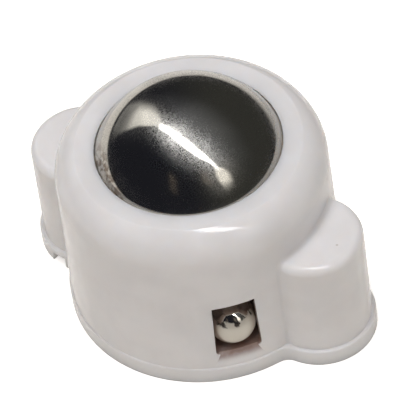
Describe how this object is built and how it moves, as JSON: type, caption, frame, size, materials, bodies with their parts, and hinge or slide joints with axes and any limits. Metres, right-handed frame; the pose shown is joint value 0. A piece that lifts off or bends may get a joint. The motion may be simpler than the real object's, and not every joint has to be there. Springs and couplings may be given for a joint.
{
  "type": "ball castor",
  "caption": "Small ball castor: a steel ball held in a round moulded housing with two screw ears and small support balls behind windows.",
  "frame": {"origin": "centre of the flat mounting face at the foot, on the main ball's axis", "axes": "+Z from the mounting face up through the ball, +X through the two screw ears"},
  "size_m": [0.025, 0.0184, 0.017],
  "materials": {
    "nylon": "semi-gloss moulded natural white nylon",
    "bearing_steel": "polished, with fine scuffs"
  },
  "bodies": {
    "housing": {"housing": "nylon"},
    "main_ball": {"main_ball": "bearing_steel"},
    "support_ball_1": {"support_ball_1": "bearing_steel"},
    "support_ball_2": {"support_ball_2": "bearing_steel"},
    "support_ball_3": {"support_ball_3": "bearing_steel"}
  },
  "joints": [
    {"name": "main_ball_roll", "type": "hinge", "parent": "housing", "child": "main_ball", "pos_m": [0, 0, 0.01027], "axis": [1, 0, 0], "continuous": true},
    {"name": "support_ball_1_run", "type": "slide", "parent": "housing", "child": "support_ball_1", "axis": [-0.7254, 0.6884, 0], "range_m": [0, 0.00178]},
    {"name": "support_ball_2_run", "type": "slide", "parent": "housing", "child": "support_ball_2", "axis": [-0.2334, -0.9724, 0], "range_m": [0, 0.00178]},
    {"name": "support_ball_3_run", "type": "slide", "parent": "housing", "child": "support_ball_3", "axis": [0.9588, 0.284, 0], "range_m": [0, 0.00033]}
  ]
}
